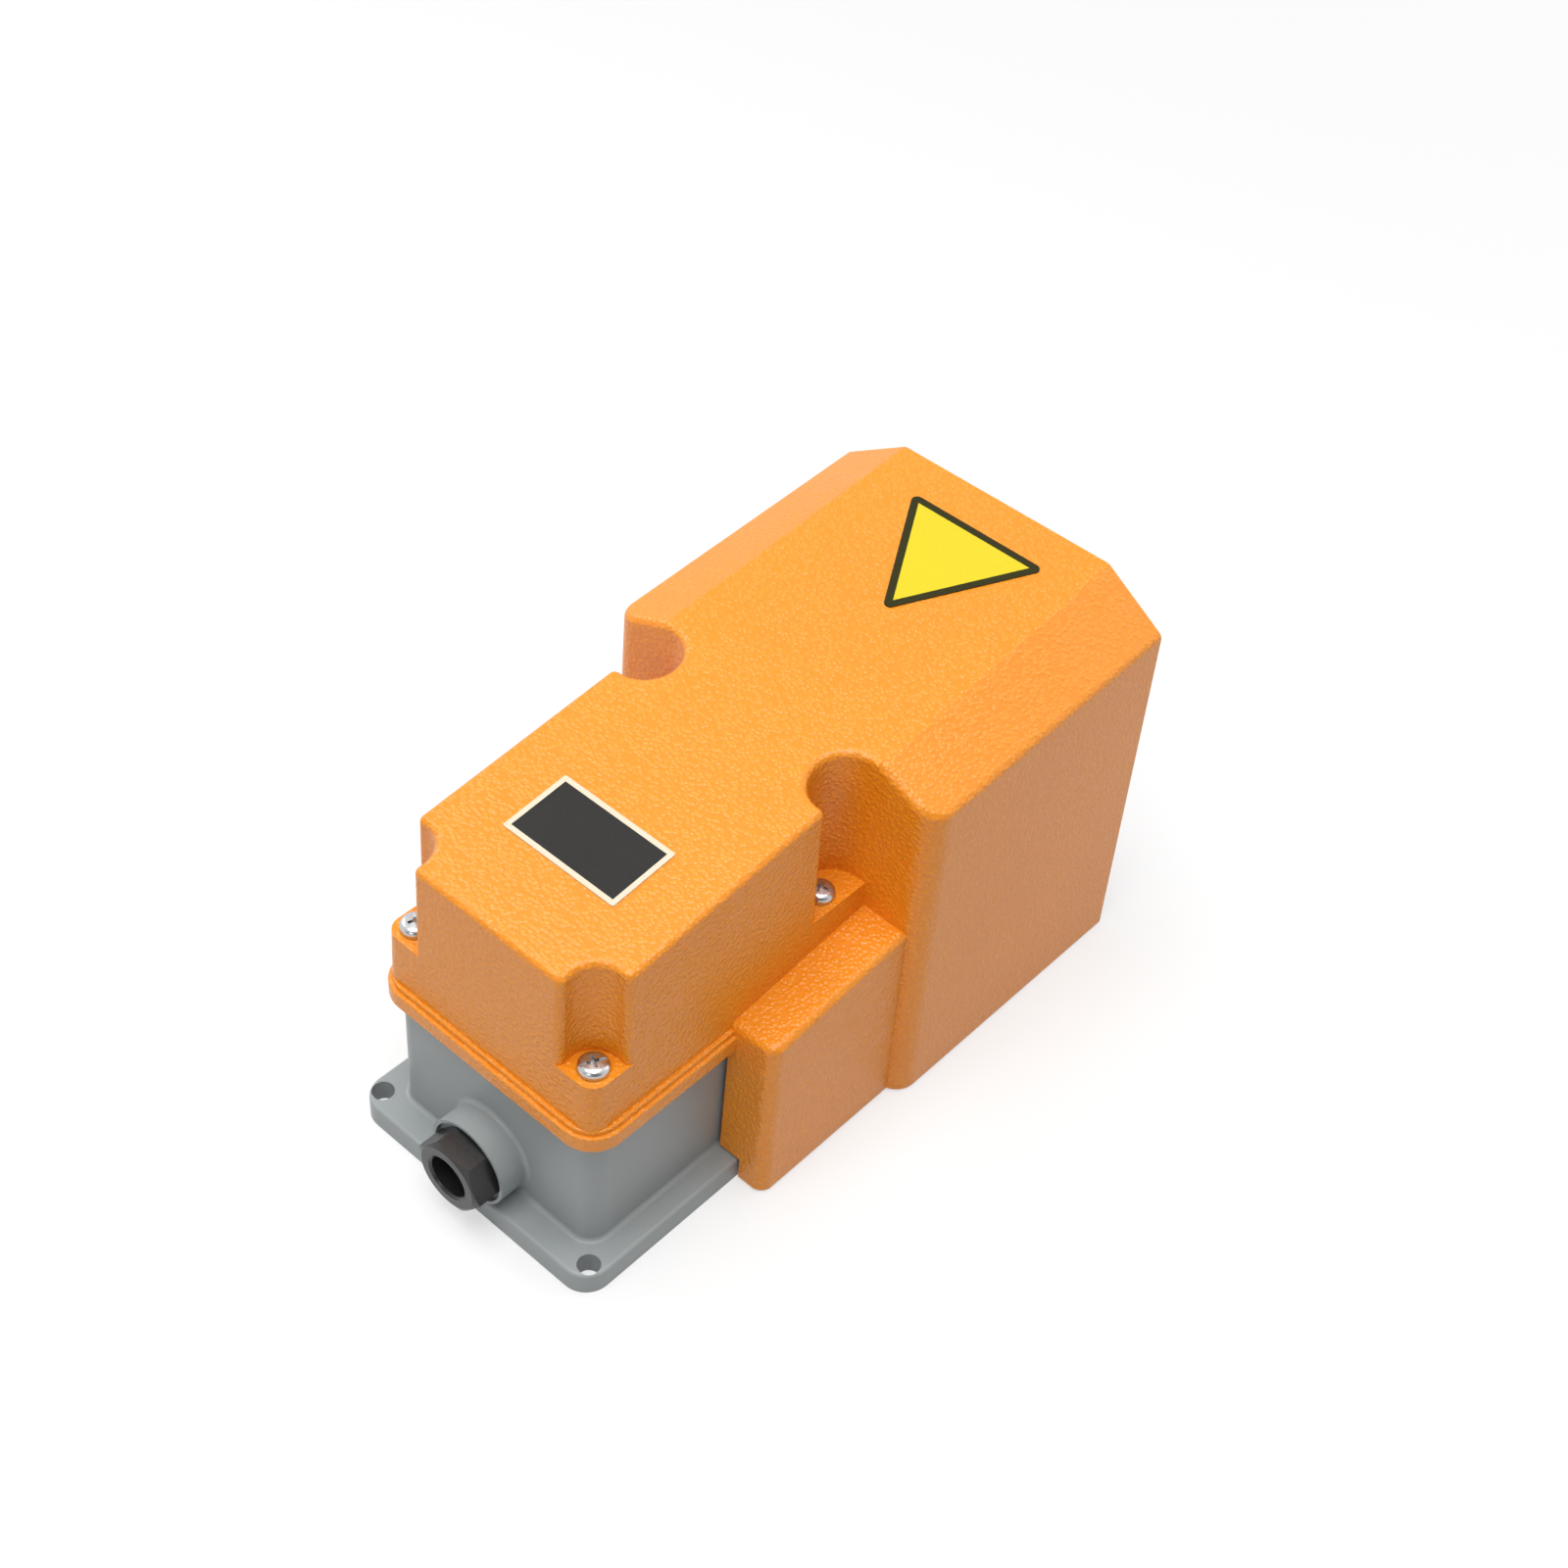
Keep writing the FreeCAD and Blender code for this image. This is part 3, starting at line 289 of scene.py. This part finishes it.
finishes = {
    "guard_paint": wrinkle_paint(),
    "base_paint": satin_grey(),
    "pedal_metal": metal("cast_aluminium", (0.50, 0.505, 0.51), 0.46, 420.0, 0.05 * MM, 0.10),
    "steel": metal("zinc_plate", (0.58, 0.59, 0.60), 0.27, 180.0, 0.01 * MM),
    "bronze": metal("sintered_bronze", (0.60, 0.42, 0.22), 0.42, 500.0, 0.03 * MM, 0.2),
    "brass": metal("bare_brass", (0.80, 0.62, 0.30), 0.28, 200.0, 0.01 * MM),
    "rubber": moulding("black_rubber", (0.018, 0.018, 0.018), (0.030, 0.030, 0.029), 0.68, 700.0, 0.04 * MM),
    "black_plastic": moulding("black_nylon", (0.016, 0.016, 0.017), (0.024, 0.024, 0.025), 0.30),
    "switch_plastic": moulding("phenolic", (0.030, 0.022, 0.018), (0.050, 0.036, 0.028), 0.45),
    "button_plastic": moulding("red_acetal", (0.50, 0.040, 0.025), (0.58, 0.055, 0.035), 0.32),
    "plate": moulding("black_lacquer", (0.014, 0.013, 0.012), (0.018, 0.017, 0.016), gloss=0.22, **INK),
    "triangle": moulding("yellow_film", (0.66, 0.525, 0.004), (0.69, 0.55, 0.006), **FILM),
}
pale_ink = moulding("cream_ink", (0.66, 0.585, 0.44), (0.71, 0.635, 0.49), gloss=0.3, **INK)
dark_ink = moulding("dark_olive_ink", (0.024, 0.022, 0.004), (0.030, 0.027, 0.006), gloss=0.12, **INK)
spring_steel = metal("spring_steel", (0.42, 0.42, 0.43), 0.30, 300.0, 0.01 * MM)

for name, node in nodes.items():
    node.data.materials.clear()
    node.data.materials.append(finishes[slot_of_node[name]])


def settle(mesh_form, name, body, materials, stands_for):
    """Makes a piece from a bmesh, in place, on its body and in the stead of its CAD node."""
    mesh = bpy.data.meshes.new(name)
    mesh_form.to_mesh(mesh)
    mesh_form.free()
    piece = bpy.data.objects.new(name, mesh)
    bpy.context.scene.collection.objects.link(piece)
    for material in materials:
        mesh.materials.append(material)
    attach(piece, body)
    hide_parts(stands_for)
    return piece


def merged_copy(node):
    """A bmesh of a CAD node with its triangles joined into whole faces."""
    form = bmesh.new()
    form.from_mesh(nodes[node].data)
    bmesh.ops.remove_doubles(form, verts=form.verts, dist=WELD)
    bmesh.ops.dissolve_limit(form, angle_limit=FLAT_ANGLE, verts=form.verts, edges=form.edges)
    return form


def bordered_plate(node, name, border, border_ink, face_ink):
    """A thin printed plate: the CAD node's outline with a printed border round a bare face."""
    form = merged_copy(node)
    for face in form.faces:
        face.material_index = 0
        face.smooth = False
    rising = [face for face in form.faces if face.normal.z > FACES_UP]
    top = max(rising, key=lambda face: face.calc_area())
    normal = top.normal.copy()
    sides = [edge for edge in top.edges if edge.calc_length() > SIDE_BORDERS * border]
    middle = sum(((edge.verts[0].co + edge.verts[1].co) / 2 for edge in sides), Vector()) / len(sides)
    cuts = []
    for edge in sides:
        point = edge.verts[0].co.copy()
        inwards = normal.cross(edge.verts[1].co - point).normalized()
        if inwards.dot(middle - point) < 0:
            inwards.negate()
        cuts.append((point + inwards * border, inwards))
    for point, inwards in cuts:
        upper = [face for face in form.faces if face.normal.dot(normal) > SAME_WAY]
        around = list({part for face in upper for part in (*face.verts, *face.edges)})
        bmesh.ops.bisect_plane(form, geom=upper + around, plane_co=point, plane_no=inwards, dist=WELD)
    upper = [face for face in form.faces if face.normal.dot(normal) > SAME_WAY]
    inner = min(upper, key=lambda face: (face.calc_center_median() - middle).length)
    bmesh.ops.inset_individual(form, faces=[inner], thickness=PRINT_STEP)
    inner.material_index = 1
    bmesh.ops.translate(form, verts=inner.verts, vec=-normal * PRINT_STEP)
    return settle(form, name, body_of_node[node], [border_ink, face_ink], node)


def drive_cutter(head_top, turn):
    """The star of a cross recess, which narrows downwards, with the slot across the whole head."""
    form = bmesh.new()
    for quarter in (0, 90):
        arm = bmesh.ops.create_cube(form, size=1.0)["verts"]
        for vertex in arm:
            reach, width, height = CROSS_TOP, CROSS_TOP_WIDTH, CROSS_PROUD
            if vertex.co.z < 0:
                reach, width, height = CROSS_FOOT, CROSS_FOOT_WIDTH, -CROSS_DEPTH
            along = math.copysign(reach, vertex.co.x)
            across = math.copysign(width / 2, vertex.co.y)
            vertex.co = Vector((along, across, height))
        spun = Matrix.Rotation(math.radians(quarter), 3, "Z")
        bmesh.ops.rotate(form, verts=arm, cent=(0, 0, 0), matrix=spun)
    slot = bmesh.ops.create_cube(form, size=1.0)["verts"]
    bmesh.ops.scale(form, verts=slot, vec=(3 * HEAD_RADIUS, SLOT_WIDTH, 2 * SLOT_DEPTH))
    place = Matrix.Translation((0, 0, head_top)) @ Matrix.Rotation(math.radians(turn), 4, "Z")
    bmesh.ops.transform(form, verts=form.verts, matrix=place)
    return form


def pan_head(length):
    """A turned pan-head screw, upright, with its seat on the ground plane and its shank below."""
    form = bmesh.new()
    crown_start = HEAD_HEIGHT - CROWN_DROP
    outline = [(0, -length), (SHANK_RADIUS, -length), (SHANK_RADIUS, 0)]
    outline += [(HEAD_RADIUS - SEAT_BEVEL, 0), (HEAD_RADIUS, SEAT_BEVEL), (HEAD_RADIUS, crown_start)]
    for step in range(1, CROWN_STEPS + 1):
        angle = math.radians(90) * step / CROWN_STEPS
        radius = HEAD_RADIUS - CROWN_INSET * (1 - math.cos(angle))
        outline.append((radius, crown_start + CROWN_RISE * math.sin(angle)))
    outline.append((0, HEAD_HEIGHT))
    points = [form.verts.new((radius, 0, height)) for radius, height in outline]
    edges = [form.edges.new(pair) for pair in zip(points, points[1:])]
    bmesh.ops.spin(form, geom=points + edges, cent=(0, 0, 0), axis=(0, 0, 1), angle=math.tau,
                   steps=TURNED_STEPS, use_merge=True)
    bmesh.ops.remove_doubles(form, verts=form.verts, dist=WELD)
    bmesh.ops.recalc_face_normals(form, faces=form.faces)
    return form


def as_object(form, name):
    """A new object in the scene with the mesh of a bmesh."""
    mesh = bpy.data.meshes.new(name)
    form.to_mesh(mesh)
    form.free()
    thing = bpy.data.objects.new(name, mesh)
    bpy.context.scene.collection.objects.link(thing)
    return thing


def hollowed(form, cutter):
    """The first form with the second cut out of it."""
    body, tool = as_object(form, "blank"), as_object(cutter, "cutter")
    boolean = body.modifiers.new("cut", "BOOLEAN")
    boolean.object, boolean.solver, boolean.use_self = tool, "EXACT", True
    graph = bpy.context.evaluated_depsgraph_get()
    result = bmesh.new()
    result.from_mesh(bpy.data.meshes.new_from_object(body.evaluated_get(graph)))
    for thing in (body, tool):
        bpy.data.objects.remove(thing)
    return result


def node_islands(node):
    """The lowest and the highest corner of each separate solid in a CAD node."""
    form = merged_copy(node)
    left = set(form.verts)
    found = []
    while left:
        stack = [left.pop()]
        island = []
        while stack:
            vertex = stack.pop()
            island.append(vertex.co.copy())
            for edge in vertex.link_edges:
                other = edge.other_vert(vertex)
                if other in left:
                    left.remove(other)
                    stack.append(other)
        low = Vector([min(point[axis] for point in island) for axis in range(3)])
        high = Vector([max(point[axis] for point in island) for axis in range(3)])
        found.append((low, high))
    form.free()
    return sorted(found, key=lambda box: tuple(box[0]))


def lid_screws():
    """The four lid screws, each with its drive turned another way."""
    whole = bmesh.new()
    for (low, high), turn in zip(node_islands("lid_screws"), SCREW_TURNS):
        length = high.z - low.z - CAD_HEAD_HEIGHT
        screw = hollowed(pan_head(length), drive_cutter(HEAD_HEIGHT, turn))
        centre = (low + high) / 2
        bmesh.ops.translate(screw, verts=screw.verts, vec=(centre.x, centre.y, low.z + length))
        mesh = bpy.data.meshes.new("screw")
        screw.to_mesh(mesh)
        screw.free()
        whole.from_mesh(mesh)
    return settle(whole, "lid_screw_set", "housing", [finishes["steel"]], "lid_screws")


def return_spring():
    """The coil spring, drawn as a bevelled helix."""
    low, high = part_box("return_spring")
    centre = (low + high) / 2
    curve = bpy.data.curves.new("spring_line", "CURVE")
    curve.dimensions = "3D"
    curve.bevel_depth, curve.bevel_resolution = SPRING_WIRE, SPRING_ROUNDNESS
    spline = curve.splines.new("POLY")
    steps = int(SPRING_TURNS * SPRING_STEPS)
    spline.points.add(steps)
    bottom, top = low.z + SPRING_WIRE, high.z - SPRING_WIRE
    for step, point in enumerate(spline.points):
        share = step / steps
        angle = math.tau * SPRING_TURNS * share
        risen = (share - SPRING_CLOSED_END) / (1 - 2 * SPRING_CLOSED_END)
        height = bottom + (top - bottom) * min(1.0, max(0.0, risen))
        x = centre.x + SPRING_RADIUS * math.cos(angle)
        y = centre.y + SPRING_RADIUS * math.sin(angle)
        point.co = (x, y, height, 1)
    curve.use_fill_caps = True
    drawn = bpy.data.objects.new("spring_line", curve)
    bpy.context.scene.collection.objects.link(drawn)
    graph = bpy.context.evaluated_depsgraph_get()
    form = bmesh.new()
    form.from_mesh(bpy.data.meshes.new_from_object(drawn.evaluated_get(graph)))
    bpy.data.objects.remove(drawn)
    piece = settle(form, "coil_spring", "housing", [spring_steel], "return_spring")
    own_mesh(piece)
    return piece


def shade(piece, angle=30):
    """Smooth shading with sharp edges kept where faces meet at more than the angle."""
    mesh = piece.data
    mesh.shade_smooth()
    mesh.set_sharp_from_angle(angle=math.radians(angle))


bordered_plate("name_plate", "blank_plate", PLATE_BORDER, pale_ink, finishes["plate"])
bordered_plate("triangle_label", "blank_triangle", TRIANGLE_RIM, dark_ink, finishes["triangle"])
shade(lid_screws())
shade(return_spring(), 60)


def area_light(name, place, target, size, power):
    """A square lamp in its place, turned to its target."""
    lamp = bpy.data.lights.new(name, "AREA")
    lamp.shape, lamp.size, lamp.energy = "SQUARE", size, power
    light = bpy.data.objects.new(name, lamp)
    bpy.context.scene.collection.objects.link(light)
    light.location = place
    light.rotation_euler = (Vector(target) - Vector(place)).to_track_quat("-Z", "Y").to_euler()


def shown_directly(material_or_world):
    """1 where the camera, a mirror or a clear piece sees this surface, 0 where it only gives light."""
    path = add(material_or_world, "ShaderNodeLightPath")
    rays = [path.outputs[name] for name in ("Is Camera Ray", "Is Glossy Ray", "Is Transmission Ray")]
    total = rays[0]
    for ray in rays[1:]:
        node = add(material_or_world, "ShaderNodeMath", operation="ADD", use_clamp=True)
        join(material_or_world, total, node.inputs[0])
        join(material_or_world, ray, node.inputs[1])
        total = node.outputs[0]
    return total


def studio():
    """Pale floor, white surroundings with the dim side of the room behind the camera, and soft lamps."""
    world = bpy.data.worlds.new("studio")
    bpy.context.scene.world = world
    world.use_nodes = True
    background = world.node_tree.nodes["Background"]
    background.inputs["Color"].default_value = (1, 1, 1, 1)
    towards = add(world, "ShaderNodeVectorMath", operation="DOT_PRODUCT")
    join(world, add(world, "ShaderNodeTexCoord").outputs["Generated"], towards.inputs[0])
    towards.inputs[1].default_value = ROOM_SIDE
    reflected = stretched(world, towards.outputs["Value"], ROOM_EDGE_START, ROOM_EDGE_END, 1.0, ROOM_DIM)
    path = add(world, "ShaderNodeLightPath")
    strength = add(world, "ShaderNodeMix", data_type="FLOAT")
    join(world, path.outputs["Is Glossy Ray"], strength.inputs["Factor"])
    join(world, stretched(world, shown_directly(world), 0, 1, WORLD_LIGHT, 1.0), strength.inputs["A"])
    join(world, reflected, strength.inputs["B"])
    join(world, strength.outputs["Result"], background.inputs["Strength"])

    material, shader = new_material("pale_floor", roughness=0.9, specular_ior_level=0.0)
    seen = shown_directly(material)
    colour = mixed(material, seen, (FLOOR_LIT,) * 3, (FLOOR_SEEN,) * 3)
    join(material, colour, shader.inputs["Base Color"])
    glow = add(material, "ShaderNodeEmission")
    blend = add(material, "ShaderNodeMixShader")
    distance = add(material, "ShaderNodeVectorMath", operation="LENGTH")
    join(material, object_place(material), distance.inputs[0])
    glowing = add(material, "ShaderNodeMath", operation="MULTIPLY")
    join(material, seen, glowing.inputs[0])
    strength = stretched(material, distance.outputs["Value"], GLOW_START, GLOW_END, GLOW_NEAR, GLOW_FAR)
    join(material, strength, glowing.inputs[1])
    join(material, glowing.outputs[0], blend.inputs["Fac"])
    join(material, shader.outputs[0], blend.inputs[1])
    join(material, glow.outputs[0], blend.inputs[2])
    join(material, blend.outputs[0], material.node_tree.nodes["Material Output"].inputs["Surface"])
    form = bmesh.new()
    bmesh.ops.create_grid(form, x_segments=1, y_segments=1, size=FLOOR_REACH)
    floor = as_object(form, "floor")
    floor.data.materials.append(material)

    for name, place, size, power in LAMPS:
        area_light(name, place, LAMP_AIM, size, power)


def camera():
    """The camera at the photograph's viewing angle."""
    ahead = Vector((math.cos(YAW) * math.cos(PITCH), math.sin(YAW) * math.cos(PITCH), -math.sin(PITCH)))
    level = Vector((math.sin(YAW), -math.cos(YAW), 0))
    over = level.cross(ahead)
    right = math.cos(ROLL) * level + math.sin(ROLL) * over
    up = math.cos(ROLL) * over - math.sin(ROLL) * level
    data = bpy.data.cameras.new("camera")
    data.sensor_width = SENSOR
    data.lens = SENSOR * FOCAL_PIXELS / IMAGE_PIXELS
    data.clip_start, data.clip_end = CLIP_NEAR, CLIP_FAR
    thing = bpy.data.objects.new("camera", data)
    bpy.context.scene.collection.objects.link(thing)
    turned = Matrix((right, up, -ahead)).transposed().to_4x4()
    thing.matrix_world = Matrix.Translation(EYE) @ turned
    bpy.context.scene.camera = thing


studio()
camera()
bpy.context.scene.view_settings.view_transform = "Standard"
